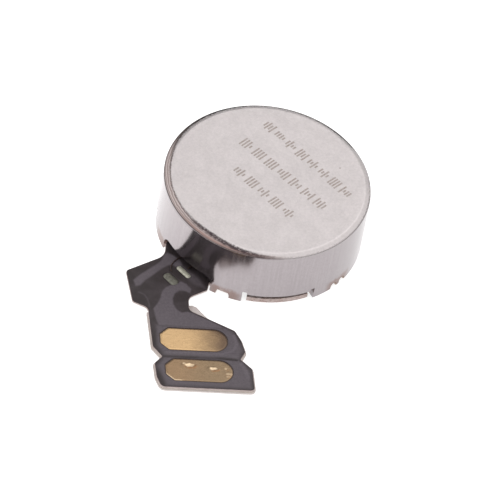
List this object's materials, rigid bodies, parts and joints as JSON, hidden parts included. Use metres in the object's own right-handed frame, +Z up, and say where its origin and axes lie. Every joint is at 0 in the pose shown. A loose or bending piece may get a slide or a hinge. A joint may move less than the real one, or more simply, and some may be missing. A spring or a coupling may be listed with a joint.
{
  "type": "vibration coin motor",
  "caption": "Coin-shaped linear vibration motor: a sprung weight in a round steel can, driven by a coil, with a flexible circuit tail that ends in contact pads.",
  "frame": {"origin": "middle of the base plate's underside, on the can's axis", "axes": "+Z up along the can's axis, out through its marked top; -Y the way the flex tail leaves; +X along the contact pads' long sides"},
  "size_m": [0.0093, 0.0128, 0.0027],
  "materials": {
    "can_steel": "satin",
    "plate_steel": "satin",
    "polyimide": "satin",
    "coverlay": "satin",
    "gold_plating": "satin",
    "tin": "matte",
    "adhesive": "matte",
    "liner": "satin",
    "enamelled_copper": "satin",
    "nickel_plate": "polished",
    "soft_iron": "satin",
    "tungsten_alloy": "matte",
    "spring_steel": "satin",
    "damper_rubber": "matte"
  },
  "bodies": {
    "stator": {"can": "can_steel", "base_plate": "plate_steel", "flex_bond": "adhesive", "flex_root_film": "polyimide", "flex_root_coverlay": "coverlay", "solder_pad_inner": "tin", "solder_joint_inner": "tin", "solder_pad_outer": "tin", "solder_joint_outer": "tin", "coil_lead_a": "enamelled_copper", "coil_lead_b": "enamelled_copper", "voice_coil": "enamelled_copper", "lower_damper": "damper_rubber", "upper_damper": "damper_rubber"},
    "mover": {"yoke": "soft_iron", "magnet": "nickel_plate", "pole_plate": "soft_iron", "mass_ring": "tungsten_alloy", "spring_clamp": "spring_steel", "leaf_spring": "spring_steel"},
    "flex_tail": {"tail_film": "polyimide", "tail_coverlay": "coverlay", "contact_pad_a": "gold_plating", "contact_pad_b": "gold_plating", "tail_adhesive": "adhesive", "tail_liner": "liner"}
  },
  "joints": [
    {"name": "mover_slide", "type": "slide", "parent": "stator", "child": "mover", "axis": [0, 0, 1], "range_m": [-0.00025, 0.00025], "stiffness_N_per_m": 650, "deforming": ["leaf_spring"]},
    {"name": "tail_bend", "type": "hinge", "parent": "stator", "child": "flex_tail", "pos_m": [-0.00377, -0.00485, 0.00035], "axis": [-1, 0, 0], "range_deg": [0, 90], "stiffness_Nm_per_rad": 0.001}
  ]
}
